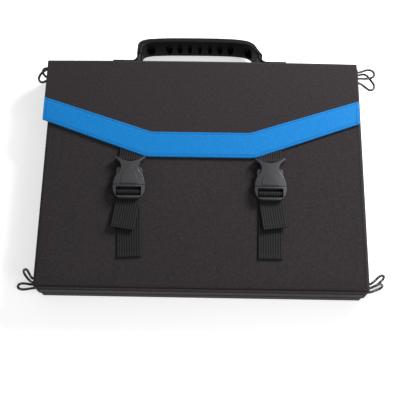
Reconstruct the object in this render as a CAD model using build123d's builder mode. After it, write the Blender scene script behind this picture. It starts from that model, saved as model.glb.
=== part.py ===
"""Folding solar blanket, folded and buckled shut, lying on its rear panel.

Four panels are stacked like a concertina and wrapped by a spine and a flap with two buckles.
Units are millimetres. The origin is the centre of the rear panel's underside, +X runs along the
panels' long side, +Y points to the spine and its handle, and +Z points up through the stack.
"""

import math
import os

from build123d import *

os.makedirs("parts", exist_ok=True)

# ---------------------------------------------------------------- driving dimensions
panel_w = 520.0            # panel width, along X
panel_h = 390.0            # panel height, along Y
corner_round = 6.0         # round of a panel's four corners, seen from the front
back_round = 5.2           # round of the padded edge on a panel's fabric side
skin_t = 0.8               # cover fabric
board_t = 8.4              # foam board
laminate_t = 1.2           # backing sheet that carries the cells
binding_t = 0.8            # sewn edge binding round the laminate
layer_gap = 0.8            # space between stacked panels
cells_across = 3
cells_down = 2
cell_gap = 4.0             # laminate that shows between the cells and outside them
side_margin = 22.0         # from a panel's side to its cells
end_margin = 37.0          # from a panel's fold edge to its cells
cell_corner = 12.0         # cut corner of a cell
cell_t = 0.3

fold_gap = 0.4             # room between a panel's edge and what folds beside it
gusset_t = 3.0             # fabric gusset, across
gusset_inset = 10.0        # gusset, in from a panel's side
gusset_end_gap = 0.2       # gap from a gusset's end to its fold line
fold_line_inset = 0.4      # fold line, in from a panel's fabric side
wire_w = 30.0              # flat cable in a gusset
wire_t = 1.0
wire_x = 60.0

spine_inset = 2.0          # spine, in from a panel's side
spine_shift = -3.0
spine_t = 3.6
spine_board_t = 2.0
flap_overhang = 2.0        # flap, out from a panel's side
flap_shift = -5.0          # the flap is sewn on a little to one side
flap_t = 2.4
flap_gap = 0.4             # room between the front panel and the flap
flap_board_t = 1.2
flap_share = 0.4487        # fold line to the flap's lower edge, of the panel's height
flap_side_depth = 111.5    # the same at the flap's two sides
flap_flat_half = 88.6      # half of the straight middle of the lower edge
band_t = 0.8
band_depth = 43.0          # band height in the middle
band_side_depth = 40.0     # band height at the sides
band_flat_half = 81.0
board_margin = 30.0        # flap board, in from the lower edge
fold_above_band = 0.2      # flap fold line, below the band's face

webbing_w = 38.0
webbing_t = 1.4
buckle_spread = 113.0      # buckle centre line, from the flap's centre line
webbing_room = 1.2         # room beside the webbing in a buckle
rail_t = 5.0               # side rail of a buckle
buckle_below_flap = 51.8   # flap's lower edge to the line where the two halves meet
half_gap = 0.2             # each half's distance from that line
female_lift = 1.2          # female half's underside above the front panel
female_t = 9.6
plate_t = 2.2              # top and bottom plates of the female half
cavity_wall = 4.0
cavity_len = 31.0
male_len = 22.3
male_low = 1.7             # male half's underside above the front panel
male_t = 8.5
male_beam = 3.0
end_rail = 3.5
bar_r = 2.0
ear_bar_r = 1.8
bar_clear = 0.1
arm_space = 0.8            # a sprung arm is this much thinner than its space
arm_len = 29.6
base_from_edge = 50.0      # panel's lower edge to the adjusting strap's sewn end
tail_from_base = 46.0      # sewn end to the strap's free end

handle_x = -9.5
handle_half = 107.5        # half of the grip's length
handle_reach = 49.6        # grip's outer face, out from its hinge line
handle_t = 12.0
handle_leg_t = 8.0
handle_w = 32.0
handle_droop = 20.0        # the grip hangs this far below level, in degrees
tab_w = 40.0
tab_h = 28.0
tab_t = 4.5
strap_core_t = 1.6
strap_core_w = 22.0
pocket_pitch = 17.5
pocket_deep = 6.5
pockets = [                # place and half width of the grip's finger pockets, in pitches
    (0.0, 0.20), (1.0, 0.21), (2.0, 0.27), (3.05, 0.32), (4.85, 0.42),
    (-1.0, 0.21), (-2.0, 0.27), (-3.05, 0.32), (-4.85, 0.42),
]
grip_round = 2.0           # round of the grip's long edges
arc_share = 0.45           # part of a run that a rounding arc may use

cord_d = 4.0

box_w = 84.0               # junction box
box_h = 52.0
box_wall = 1.6
box_x = 150.0
box_y = 120.0
socket_spacing = 30.0

# ---------------------------------------------------------------- levels worked out from them
core_deep = board_t + laminate_t
cover_deep = skin_t + core_deep
cell_w = (panel_w - 2 * side_margin - (cells_across - 1) * cell_gap) / cells_across
cell_h = (panel_h - 2 * end_margin - (cells_down - 1) * cell_gap) / cells_down
window_w = panel_w - 2 * side_margin + 2 * cell_gap
window_h = panel_h - 2 * end_margin + 2 * cell_gap
panel_t = cover_deep + binding_t
panel_step = panel_t + layer_gap
rear_z = 0.0
third_z = panel_step
second_z = 2 * panel_step
front_z = 3 * panel_step
front_top = front_z + panel_t
half_h = panel_h / 2
spine_in = half_h + fold_gap
spine_out = spine_in + spine_t
flap_low = front_top + flap_gap
flap_top = flap_low + flap_t
flap_edge_gap = 0.4
band_top = flap_top + band_t
print("fold lines, y and z:")
print("  rear gusset foot", -(half_h + fold_gap + gusset_t), fold_line_inset)
print("  rear gusset top ", -(half_h + fold_gap + gusset_t), third_z + panel_t - fold_line_inset)
print("  middle fold     ", half_h + fold_gap, second_z - layer_gap / 2)
print("  front gusset foot", -(half_h + fold_gap + gusset_t), second_z + fold_line_inset)
print("  front gusset top", -(half_h + fold_gap + gusset_t), front_top - fold_line_inset)
print("  spine foot      ", spine_out, fold_line_inset)
print("  flap fold       ", spine_out, band_top - fold_above_band)


def save(part, name):
    """Label a finished piece and write it."""
    part.label = name
    export_step(part, "parts/" + name + ".step")


def panel_seat(low, cells_up):
    """Plane on a panel's fabric side, its normal pointing through the panel to the cells."""
    if cells_up:
        return Plane(origin=(0, 0, low), x_dir=(1, 0, 0), z_dir=(0, 0, 1))
    return Plane(origin=(0, 0, low + panel_t), x_dir=(1, 0, 0), z_dir=(0, 0, -1))


def padded_slab(seat, inset, depth):
    """Slab with round corners and one round edge, on the seat's side."""
    with BuildPart() as slab:
        with BuildSketch(seat):
            RectangleRounded(panel_w - 2 * inset, panel_h - 2 * inset, corner_round - inset)
        extrude(amount=depth)
        back = slab.faces().sort_by(Axis(seat.origin, seat.z_dir))[0]
        fillet(back.edges(), back_round - inset)
    return slab.part


# ---------------------------------------------------------------- the four panels
panels = {
    "rear": (rear_z, True),
    "third": (third_z, False),
    "second": (second_z, True),
    "front": (front_z, False),
}
box_seat = panel_seat(*panels["second"])

for name, (low, cells_up) in panels.items():
    seat = panel_seat(low, cells_up)
    inner_seat = seat.offset(skin_t)
    outer_slab = padded_slab(seat, 0, cover_deep)
    core_slab = padded_slab(inner_seat, skin_t, core_deep)
    board_slab = padded_slab(inner_seat, skin_t, board_t)

    with BuildPart() as cover:
        add(outer_slab)
        add(core_slab, mode=Mode.SUBTRACT)
        if name == "second":
            with BuildSketch(seat):
                with Locations((box_x, box_y)):
                    Rectangle(box_w, box_h)
            extrude(amount=skin_t, mode=Mode.SUBTRACT)
    save(cover.part, name + "_cover")

    with BuildPart() as board:
        add(board_slab)
        if name == "second":
            with BuildSketch(inner_seat):
                with Locations((box_x, box_y)):
                    Rectangle(box_w, box_h)
            extrude(amount=board_t, mode=Mode.SUBTRACT)
    save(board.part, name + "_board")

    with BuildPart() as laminate:
        with BuildSketch(seat.offset(skin_t + board_t)):
            RectangleRounded(panel_w - 2 * skin_t, panel_h - 2 * skin_t, corner_round - skin_t)
        extrude(amount=laminate_t)
    save(laminate.part, name + "_laminate")

    with BuildPart() as cells:
        with BuildSketch(seat.offset(cover_deep)) as cell_faces:
            with GridLocations(cell_w + cell_gap, cell_h + cell_gap, cells_across, cells_down):
                Rectangle(cell_w, cell_h)
            chamfer(cell_faces.vertices(), cell_corner)
        extrude(amount=cell_t)
    save(cells.part, name + "_cells")

    with BuildPart() as binding:
        with BuildSketch(seat.offset(cover_deep)):
            RectangleRounded(panel_w, panel_h, corner_round)
            RectangleRounded(window_w, window_h, corner_round, mode=Mode.SUBTRACT)
        extrude(amount=binding_t)
    save(binding.part, name + "_binding")

# ---------------------------------------------------------------- junction box, let into the second panel
box_deep = skin_t + board_t
socket_offsets = {"dc": -socket_spacing / 2, "usb": socket_spacing / 2}
dc_r = 5.0
dc_bore_r = 2.75
usb_w = 12.0
usb_h = 6.0
usb_slot_w = 8.6
usb_slot_h = 2.8
socket_deep = box_deep - box_wall
socket_bore_deep = socket_deep - 1.0

with BuildPart() as box_lid:
    with BuildSketch(box_seat):
        with Locations((box_x, box_y)):
            Rectangle(box_w, box_h)
        with Locations((box_x + socket_offsets["dc"], box_y)):
            Circle(dc_r, mode=Mode.SUBTRACT)
        with Locations((box_x + socket_offsets["usb"], box_y)):
            Rectangle(usb_w, usb_h, mode=Mode.SUBTRACT)
    extrude(amount=box_wall)
save(box_lid.part, "junction_box_lid")

with BuildPart() as box_base:
    with BuildSketch(box_seat.offset(box_wall)):
        with Locations((box_x, box_y)):
            Rectangle(box_w, box_h)
    extrude(amount=box_deep - box_wall)
    with BuildSketch(box_seat.offset(box_wall)):
        with Locations((box_x, box_y)):
            Rectangle(box_w - 2 * box_wall, box_h - 2 * box_wall)
    extrude(amount=box_deep - 2 * box_wall, mode=Mode.SUBTRACT)
save(box_base.part, "junction_box_base")

with BuildPart() as dc_socket:
    with BuildSketch(box_seat):
        with Locations((box_x + socket_offsets["dc"], box_y)):
            Circle(dc_r)
    extrude(amount=socket_deep)
    with BuildSketch(box_seat):
        with Locations((box_x + socket_offsets["dc"], box_y)):
            Circle(dc_bore_r)
    extrude(amount=socket_bore_deep, mode=Mode.SUBTRACT)
save(dc_socket.part, "dc_socket")

with BuildPart() as usb_socket:
    with BuildSketch(box_seat):
        with Locations((box_x + socket_offsets["usb"], box_y)):
            Rectangle(usb_w, usb_h)
    extrude(amount=socket_deep)
    with BuildSketch(box_seat):
        with Locations((box_x + socket_offsets["usb"], box_y)):
            Rectangle(usb_slot_w, usb_slot_h)
    extrude(amount=socket_bore_deep, mode=Mode.SUBTRACT)
save(usb_socket.part, "usb_socket")

# ---------------------------------------------------------------- gussets along the lower edge
gusset_y = -(half_h + fold_gap + gusset_t / 2)
gussets = {
    "rear": (rear_z + fold_line_inset, third_z + panel_t - fold_line_inset),
    "front": (second_z + fold_line_inset, front_top - fold_line_inset),
}
for name, (fold_low, fold_high) in gussets.items():
    gusset_low = fold_low + gusset_end_gap
    gusset_tall = fold_high - fold_low - 2 * gusset_end_gap
    with BuildPart() as wires:
        with BuildSketch(Plane.XY.offset(gusset_low + skin_t)):
            with Locations((-wire_x, gusset_y), (wire_x, gusset_y)):
                Rectangle(wire_w, wire_t)
        extrude(amount=gusset_tall - 2 * skin_t)
    save(wires.part, name + "_gusset_wires")

    with BuildPart() as gusset:
        with BuildSketch(Plane.XY.offset(gusset_low)):
            with Locations((0, gusset_y)):
                Rectangle(panel_w - 2 * gusset_inset, gusset_t)
        extrude(amount=gusset_tall)
        add(wires.part, mode=Mode.SUBTRACT)
    save(gusset.part, name + "_gusset_cover")

# ---------------------------------------------------------------- spine and flap
spine_low = fold_line_inset + gusset_end_gap
spine_mid = spine_in + spine_t / 2
spine_w = panel_w - 2 * spine_inset
with BuildPart() as spine_board:
    with BuildSketch(Plane.XY.offset(spine_low + skin_t)):
        with Locations((spine_shift, spine_mid)):
            Rectangle(spine_w - 2 * skin_t, spine_board_t)
    extrude(amount=front_top - spine_low - 2 * skin_t)
save(spine_board.part, "spine_board")

with BuildPart() as spine_cover:
    with BuildSketch(Plane.XY.offset(spine_low)):
        with Locations((spine_shift, spine_mid)):
            Rectangle(spine_w, spine_t)
    extrude(amount=front_top - spine_low)
    add(spine_board.part, mode=Mode.SUBTRACT)
save(spine_cover.part, "spine_cover")

flap_half = panel_w / 2 + flap_overhang
flap_start_y = spine_out - flap_edge_gap
flap_side_y = spine_out - flap_side_depth
flap_low_y = spine_out - flap_share * panel_h
flap_plane = Plane.XY.offset(flap_low)
flap_corners = [
    (flap_shift - flap_half, flap_start_y),
    (flap_shift + flap_half, flap_start_y),
    (flap_shift + flap_half, flap_side_y),
    (flap_shift + flap_flat_half, flap_low_y),
    (flap_shift - flap_flat_half, flap_low_y),
    (flap_shift - flap_half, flap_side_y),
]
board_half = flap_half - board_margin / 2
flap_board_corners = [
    (flap_shift - board_half, flap_start_y - board_margin / 2),
    (flap_shift + board_half, flap_start_y - board_margin / 2),
    (flap_shift + board_half, flap_side_y + board_margin),
    (flap_shift + flap_flat_half, flap_low_y + board_margin),
    (flap_shift - flap_flat_half, flap_low_y + board_margin),
    (flap_shift - board_half, flap_side_y + board_margin),
]
with BuildPart() as flap_board:
    with BuildSketch(flap_plane.offset((flap_t - flap_board_t) / 2)):
        Polygon(*flap_board_corners, align=None)
    extrude(amount=flap_board_t)
save(flap_board.part, "flap_board")

band_side_top_y = flap_side_y + band_side_depth
band_low_top_y = flap_low_y + band_depth
with BuildPart() as band:
    with BuildSketch(Plane.XY.offset(flap_top)):
        Polygon(
            (flap_shift - flap_half, band_side_top_y),
            (flap_shift - band_flat_half, band_low_top_y),
            (flap_shift + band_flat_half, band_low_top_y),
            (flap_shift + flap_half, band_side_top_y),
            (flap_shift + flap_half, flap_side_y),
            (flap_shift + flap_flat_half, flap_low_y),
            (flap_shift - flap_flat_half, flap_low_y),
            (flap_shift - flap_half, flap_side_y),
            align=None,
        )
    extrude(amount=band_t)
save(band.part, "flap_band")

# ---------------------------------------------------------------- straps and buckles
strap_level = flap_low + flap_t / 2                 # middle of the webbing inside the flap
strap_root_in = 22.0                                # webbing sewn inside the flap's lower edge
rail_in = webbing_w / 2 + webbing_room              # half of the clear width between the rails
buckle_half = rail_in + rail_t
buckle_joint_y = flap_low_y - buckle_below_flap
base_y = -half_h + base_from_edge
tail_y = base_y + tail_from_base
female_z = front_top + female_lift
cavity_low = female_z + plate_t
cavity_t = female_t - 2 * plate_t
cavity_half = buckle_half - cavity_wall
arm_t = cavity_t - arm_space
ear_bar_y = buckle_joint_y + 43.5
ear_bar_z = female_z + 0.47 * female_t
ear_turn = ear_bar_r + bar_clear + webbing_t / 2    # middle of the webbing, from the bar's centre
ear_slot_y = ear_bar_y - ear_turn - webbing_t / 2 - 0.6
ear_slot_top = ear_bar_z + ear_turn + webbing_t / 2 + 0.2
ear_slot_half = webbing_w / 2 + 0.7
male_z = front_top + male_low
bar_y = buckle_joint_y - 11.0
bar_z = front_top + 5.0
bar_turn = bar_r + bar_clear + webbing_t / 2
base_level = front_top + webbing_t / 2
tail_level = base_level + webbing_t + 0.15
rail_inner_y = buckle_joint_y - male_len + end_rail
end_rail_low = tail_level + webbing_t / 2 + 0.25
relief_t = 0.8
corner_r = 0.8                                      # moulded rounds of both halves
edge_r = 0.7
female_ear = [(0, 39.8), (buckle_half - 13.2, 42.2), (buckle_half - 2.7, 48.6)]
female_ear_side = [(buckle_half, 46.2), (buckle_half - 6.8, 40.6), (buckle_half - 11.2, 33.0)]
female_neck = [(buckle_half - 11.0, 28.0), (buckle_half - 8.8, 21.8), (buckle_half - 4.6, 17.0)]
female_shoulder = [(buckle_half - 4.6, 17.0), (buckle_half - 1.3, 9.0), (buckle_half, half_gap)]
male_side = [(buckle_half, -half_gap), (buckle_half - 0.5, -10.5), (buckle_half - 4.7, -18.6)]
male_corner = [(buckle_half - 4.7, -18.6), (buckle_half - 7.6, -21.2), (buckle_half - 11.7, -male_len)]
relief_side = [(buckle_half - 11.8, 1.6), (buckle_half - 14.3, 17.0), (0, 29.5)]
tongue_half = 4.5
arm_half_space = (cavity_t - arm_t) / 2

flap_strap_solids = []
for side, way in (("left", -1), ("right", 1)):
    centre_x = flap_shift + way * buckle_spread
    strap_x = centre_x - webbing_w / 2

    # strap from inside the flap, round the bar of the female half
    with BuildPart() as flap_strap:
        with BuildSketch(Plane.YZ.offset(strap_x)):
            with BuildLine():
                strap_line = FilletPolyline(
                    (flap_low_y + strap_root_in, strap_level),
                    (flap_low_y + 3.0, strap_level),
                    (ear_bar_y - ear_turn, ear_bar_z - ear_turn),
                    (ear_bar_y - ear_turn, ear_bar_z + ear_turn),
                    (ear_bar_y + 1.8, ear_bar_z + ear_turn),
                    (ear_bar_y + 7.6, strap_level + 2.3),
                    radius=[12.0, 2.3, 2.3, 3.0],
                )
            trace(strap_line, line_width=webbing_t)
        extrude(amount=webbing_w)
    flap_strap_solids.append(flap_strap.part)
    save(flap_strap.part, "flap_strap_" + side)

    # female half: plates joined by a neck, open at the sides, with a webbing bar between two ears
    local = Plane(origin=(centre_x, buckle_joint_y, female_z))
    with BuildPart() as female:
        with BuildSketch(local):
            with BuildLine():
                ThreePointArc(*female_ear)
                Line(female_ear[-1], female_ear_side[0])
                ThreePointArc(*female_ear_side)
                Line(female_ear_side[-1], female_neck[0])
                ThreePointArc(*female_neck)
                ThreePointArc(*female_shoulder)
                Line(female_shoulder[-1], (0, half_gap))
                mirror(about=Plane.YZ)
            make_face()
        extrude(amount=female_t)
        fillet(female.edges().filter_by(Axis.Z), corner_r)
        fillet(female.faces().sort_by(Axis.Z)[-1].edges(), edge_r)
        with BuildSketch(local.offset(female_t)):
            with BuildLine():
                ThreePointArc(*relief_side)
                Line(relief_side[0], (0, relief_side[0][1]))
                mirror(about=Plane.YZ)
            make_face()
        extrude(amount=relief_t, taper=25)
        with BuildSketch(local.offset(plate_t)):
            with Locations((0, cavity_len / 2)):
                Rectangle(2 * cavity_half, cavity_len)
        extrude(amount=cavity_t, mode=Mode.SUBTRACT)
        with BuildSketch(Plane.YZ.offset(centre_x - ear_slot_half)):
            with Locations((ear_slot_y + 20.0, female_z + (ear_slot_top - female_z) / 2)):
                Rectangle(40.0, ear_slot_top - female_z)
        extrude(amount=2 * ear_slot_half, mode=Mode.SUBTRACT)
        with BuildSketch(Plane.YZ.offset(centre_x - ear_slot_half - 0.8)):
            with Locations((ear_bar_y, ear_bar_z)):
                Circle(ear_bar_r)
        extrude(amount=2 * ear_slot_half + 1.6)
    save(female.part, "buckle_female_" + side)

    # male half: frame with a webbing bar, and the tongue between the two arms
    frame_plane = Plane(origin=(centre_x, buckle_joint_y, male_z))
    with BuildPart() as male:
        with BuildSketch(frame_plane):
            with BuildLine():
                Line((0, -half_gap), male_side[0])
                ThreePointArc(*male_side)
                ThreePointArc(*male_corner)
                Line(male_corner[-1], (0, -male_len))
                mirror(about=Plane.YZ)
            make_face()
        extrude(amount=male_t)
        fillet(male.edges().filter_by(Axis.Z), corner_r)
        fillet(male.faces().sort_by(Axis.Z)[-1].edges(), edge_r)
        with BuildSketch(frame_plane):
            opening_len = male_len - end_rail - male_beam - half_gap
            with Locations((0, -half_gap - male_beam - opening_len / 2)):
                RectangleRounded(2 * rail_in, opening_len, 1.5)
        extrude(amount=male_t, mode=Mode.SUBTRACT)
        with BuildSketch(Plane.YZ.offset(centre_x - webbing_w / 2 - 0.6)):
            with Locations((rail_inner_y - 5.0, male_z + (end_rail_low - male_z) / 2)):
                Rectangle(10.2, end_rail_low - male_z)
        extrude(amount=webbing_w + 1.2, mode=Mode.SUBTRACT)
        with BuildSketch(Plane.YZ.offset(centre_x - rail_in - 0.8)):
            with Locations((bar_y, bar_z)):
                Circle(bar_r)
        extrude(amount=2 * rail_in + 1.6)
        with BuildSketch(Plane(origin=(centre_x, buckle_joint_y, cavity_low + arm_half_space))):
            with Locations((0, cavity_len / 2 - 2.0)):
                Rectangle(2 * tongue_half, cavity_len - 2.6)
        extrude(amount=arm_t)
    save(male.part, "buckle_male_" + side)

    # two sprung arms, each on its own hinge at the root
    for place, hand in (("outer", way), ("inner", -way)):
        with BuildPart() as arm:
            arm_plane = Plane(origin=(centre_x, buckle_joint_y, cavity_low + arm_half_space))
            with BuildSketch(arm_plane):
                with BuildLine():
                    Polyline(
                        (hand * (cavity_half - 5.8), 0.1),
                        (hand * (cavity_half - 0.8), 0.1),
                        (hand * (cavity_half - 0.8), 13.0),
                        (hand * (cavity_half - 0.4), 18.0),
                        (hand * (cavity_half - 0.4), 26.4),
                        (hand * (cavity_half - 2.6), arm_len),
                        (hand * (cavity_half - 6.0), arm_len),
                        (hand * (cavity_half - 6.4), 22.0),
                        (hand * (cavity_half - 4.0), 14.0),
                        (hand * (cavity_half - 5.8), 0.1),
                    )
                make_face()
            extrude(amount=arm_t)
            fillet(arm.edges().filter_by(Axis.Z).group_by(Axis.Y)[-1], 1.2)
        save(arm.part, "buckle_arm_" + side + "_" + place)

    # adjusting strap: sewn to the front, up round the bar and back as a free tail
    with BuildPart() as adjusting_strap:
        with BuildSketch(Plane.YZ.offset(strap_x)):
            with BuildLine():
                strap_line = FilletPolyline(
                    (base_y, base_level),
                    (bar_y - 5.4, base_level),
                    (bar_y + bar_turn, bar_z - bar_turn),
                    (bar_y + bar_turn, bar_z + bar_turn),
                    (bar_y - 2.4, bar_z + bar_turn),
                    (bar_y - 6.7, tail_level),
                    (tail_y, tail_level),
                    radius=[8.0, 2.3, 2.3, 2.0, 2.0],
                )
            trace(strap_line, line_width=webbing_t)
        extrude(amount=webbing_w)
    save(adjusting_strap.part, "adjusting_strap_" + side)

with BuildPart() as flap_cover:
    with BuildSketch(flap_plane):
        Polygon(*flap_corners, align=None)
    extrude(amount=flap_t)
    add(flap_board.part, mode=Mode.SUBTRACT)
    for strap_solid in flap_strap_solids:
        add(strap_solid, mode=Mode.SUBTRACT)
save(flap_cover.part, "flap_cover")

# ---------------------------------------------------------------- carry handle
tab_low = front_top - tab_h
handle_pivot_z = tab_low + tab_h / 2
for side, way in (("left", -1), ("right", 1)):
    with BuildPart() as tab:
        with BuildSketch(Plane.XY.offset(tab_low)):
            with Locations((handle_x + way * (handle_half + tab_w / 2), spine_out + tab_t / 2)):
                Rectangle(tab_w, tab_t)
        extrude(amount=tab_h)
        outer_face = tab.faces().sort_by(Axis.Y)[-1]
        fillet(outer_face.edges(), 1.2)
    save(tab.part, "handle_tab_" + side)

# The grip's own plane: local X along the blanket's X, local Y outwards and drooping, local Z
# across the strap's width.
pivot_y = spine_out + tab_t + 0.5
droop_plane = Plane(origin=(handle_x, pivot_y, handle_pivot_z), x_dir=(1, 0, 0), z_dir=(0, 0, 1))
droop_plane = droop_plane.rotated((-handle_droop, 0, 0))
grip_plane = droop_plane.offset(-handle_w / 2)
core_plane = droop_plane.offset(-strap_core_w / 2)
leg_start = 8.0                                      # legs start this far out, so they can swing
core_inset = 3.8
arch = [                                             # shares of the half length and of the reach
    (-1.0, 0.0), (-1.0, 0.6), (-0.95, 0.8), (-0.84, 0.91), (-0.55, 0.98), (-0.1, 1.0),
    (0.3, 1.0), (0.6, 0.96), (0.78, 0.86), (0.88, 0.66), (0.93, 0.36), (1.0, 0.0),
]


def arch_points(leg_inset, crown_inset):
    """Corners of an arch line that lies inside the grip's outer face."""
    rise = handle_reach - crown_inset - leg_start
    half_length = handle_half - leg_inset
    return [(share_x * half_length, leg_start + share_y * rise) for share_x, share_y in arch]


def arc_radii(points):
    """Radii that round every corner of a run of points, each arc inside its share of the run."""
    radii = []
    for before, here, after in zip(points, points[1:], points[2:]):
        before, here, after = Vector(before), Vector(here), Vector(after)
        half_turn = (here - before).get_angle(after - here) / 2
        shorter = min((here - before).length, (after - here).length)
        radii.append(arc_share * shorter / math.tan(math.radians(half_turn)))
    return radii


with BuildPart() as handle_strap:
    with BuildSketch(core_plane):
        with BuildLine():
            core_points = arch_points(core_inset, core_inset)
            core_line = FilletPolyline(*core_points, radius=arc_radii(core_points))
        trace(core_line, line_width=strap_core_t)
    extrude(amount=strap_core_w)
save(handle_strap.part, "handle_strap")

inner_points = arch_points(handle_leg_t, handle_t)
outer_points = arch_points(0, 0)
with BuildPart() as handle_grip:
    with BuildSketch(grip_plane):
        with BuildLine():
            outer_line = FilletPolyline(*outer_points, radius=arc_radii(outer_points))
            Line(outer_line @ 1, outer_line @ 0)
        make_face()
        with BuildLine():
            inner_line = FilletPolyline(*inner_points, radius=arc_radii(inner_points))
            Line(inner_line @ 1, inner_line @ 0)
        make_face(mode=Mode.SUBTRACT)
    extrude(amount=handle_w)
    grip_sides = handle_grip.faces().sort_by(Axis(droop_plane.origin, droop_plane.z_dir))
    fillet(grip_sides[0].edges() + grip_sides[-1].edges(), grip_round)
    add(handle_strap.part, mode=Mode.SUBTRACT)
    for place, half_share in pockets:
        pocket_x = place * pocket_pitch
        for (x_0, y_0), (x_1, y_1) in zip(inner_points, inner_points[1:]):
            if x_0 < pocket_x <= x_1:
                pocket_y = y_0 + (y_1 - y_0) * (pocket_x - x_0) / (x_1 - x_0)
        pocket_plane = Plane(
            origin=droop_plane.from_local_coords((pocket_x, pocket_y - pocket_deep, 0)),
            x_dir=(1, 0, 0),
            z_dir=droop_plane.y_dir,
        )
        with BuildSketch(pocket_plane):
            Ellipse(pocket_pitch * half_share, handle_w * 0.34)
        extrude(amount=2 * pocket_deep, mode=Mode.SUBTRACT)
save(handle_grip.part, "handle_grip")

# ---------------------------------------------------------------- corner loops
side_x = panel_w / 2 + 0.4                           # where a loop leaves the side seam
front_mid = front_z + panel_t / 2
second_mid = second_z + panel_t / 2
rear_mid = rear_z + panel_t / 2

# Each route is a list of (out from the side seam, in from the panel's edge, drop below its middle).
loops = {
    "front_upper_right": (1, 1, front_mid, [
        (0, 9, 0), (7, 7, 0.4), (16, 2.5, 1.2), (26, 4, 2.4), (28.5, 13, 3.0), (20, 19, 2.4),
        (9, 20, 1.0), (0, 20.5, 0)]),
    "second_upper_right": (1, 1, second_mid, [
        (0, 8.5, 0), (9, 5, 0.5), (17, 6, 1.3), (24, 16, 2.5), (30, 24, 3.6), (28, 33, 4.0),
        (20.5, 34.5, 3.4), (13, 29, 2.0), (6.5, 23.5, 0.7), (0, 22, 0)]),
    "front_lower_right": (1, -1, front_mid, [
        (0, 8, 0), (8, 11, 0.4), (16, 17, 1.4), (24.5, 22.5, 2.8), (22, 28.5, 3.0),
        (14.5, 27.5, 1.8), (7, 21, 0.6), (0, 17.5, 0)]),
    "rear_lower_right": (1, -1, rear_mid, [
        (0, 8, 0), (9, 9, 0.3), (18, 12.5, 0.9), (27, 15.5, 1.8), (28.5, 22, 2.2), (21, 24, 1.8),
        (10, 20.2, 0.6), (0, 17.5, 0)]),
    "front_upper_left": (-1, 1, front_mid, [
        (0, 28, 0), (7, 32, 0.4), (15.5, 36, 1.2), (22, 31, 2.2), (21.5, 21.5, 2.8),
        (15.5, 14, 2.2), (7.5, 9.5, 0.8), (0, 9, 0)]),
    "second_upper_left": (-1, 1, second_mid, [
        (0, 8.5, 0), (6.5, 5, 0.4), (13, 0.5, 1.2), (19.5, 4, 2.2), (18.5, 11.5, 2.6),
        (12.5, 18, 1.8), (6, 22, 0.6), (0, 24, 0)]),
    "front_lower_left": (-1, -1, front_mid, [
        (0, 8, 0), (7, 11, 0.4), (14, 16.5, 1.4), (18.5, 23.5, 2.4), (13.5, 28.5, 2.4),
        (6.5, 23.2, 1.0), (0, 19.5, 0)]),
    "rear_lower_left": (-1, -1, rear_mid, [
        (0, 8, 0), (9, 5.5, 0.3), (19, 4.7, 0.9), (29, 5.5, 1.8), (33, 11.5, 2.3), (27, 16, 2.0),
        (17, 16.5, 1.2), (8, 16.2, 0.4), (0, 17.5, 0)]),
}
for name, (way, end, level, route) in loops.items():
    points = []
    for out, edge_in, drop in route:
        points.append((way * (side_x + out), end * (half_h - edge_in), level - drop))
    radii = arc_radii(points)
    with BuildPart() as loop:
        with BuildLine() as loop_path:
            FilletPolyline(*points, radius=radii)
        with BuildSketch(Plane(origin=loop_path.wire() @ 0, z_dir=loop_path.wire() % 0)):
            Circle(cord_d / 2)
        sweep()
    wanted = math.pi * (cord_d / 2) ** 2 * loop_path.wire().length
    print(name, "length", round(loop_path.wire().length, 1),
          "radii", [round(radius, 1) for radius in radii],
          "volume over section x length", round(loop.part.volume / wanted, 4))
    save(loop.part, "loop_" + name)
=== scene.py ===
# %% [markdown]
# # Folding solar blanket, folded and buckled shut
# Four boarded panels lie stacked like a concertina. A spine and a flap wrap them, and two webbing
# straps with side-release buckles hold the flap down. This file dresses the fixed CAD frame in
# cloth, webbing, cord, plastic and rubber. Shapes are worked out in millimetres, in the frame's
# own axes: X along the panels, Y towards the spine and its handle, Z up through the stack.

# %% Load the frame
import math

import bpy
import numpy as np
from mathutils import Matrix, Vector


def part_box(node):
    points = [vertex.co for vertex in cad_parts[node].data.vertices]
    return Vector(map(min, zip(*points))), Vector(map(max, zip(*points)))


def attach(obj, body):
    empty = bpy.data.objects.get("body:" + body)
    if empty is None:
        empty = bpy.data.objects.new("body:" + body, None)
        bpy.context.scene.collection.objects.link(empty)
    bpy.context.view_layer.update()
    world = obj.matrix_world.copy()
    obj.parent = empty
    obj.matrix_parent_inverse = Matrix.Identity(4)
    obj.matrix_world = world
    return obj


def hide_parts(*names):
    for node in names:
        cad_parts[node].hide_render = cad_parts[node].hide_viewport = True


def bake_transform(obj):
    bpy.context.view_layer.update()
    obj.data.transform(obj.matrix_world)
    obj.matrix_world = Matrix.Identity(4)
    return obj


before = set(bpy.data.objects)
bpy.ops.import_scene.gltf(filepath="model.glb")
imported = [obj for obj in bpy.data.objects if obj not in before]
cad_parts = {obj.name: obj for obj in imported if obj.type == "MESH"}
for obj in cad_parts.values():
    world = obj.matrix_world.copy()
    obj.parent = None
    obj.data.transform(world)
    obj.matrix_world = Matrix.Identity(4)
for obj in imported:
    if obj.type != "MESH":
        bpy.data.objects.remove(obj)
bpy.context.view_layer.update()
MM = 0.001


def node_box(node):
    """Lowest and highest corner of a CAD node, in mm."""
    low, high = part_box(node)
    return np.array(low) / MM, np.array(high) / MM


# %% [markdown]
# ## Camera
# The blanket lies flat and is seen from a little in front of overhead, so its handle points away
# from the camera. A camera is easiest to place by the direction it looks in: that direction and
# a roll give its three axes, and a distance from a point on the object gives its place.

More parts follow.
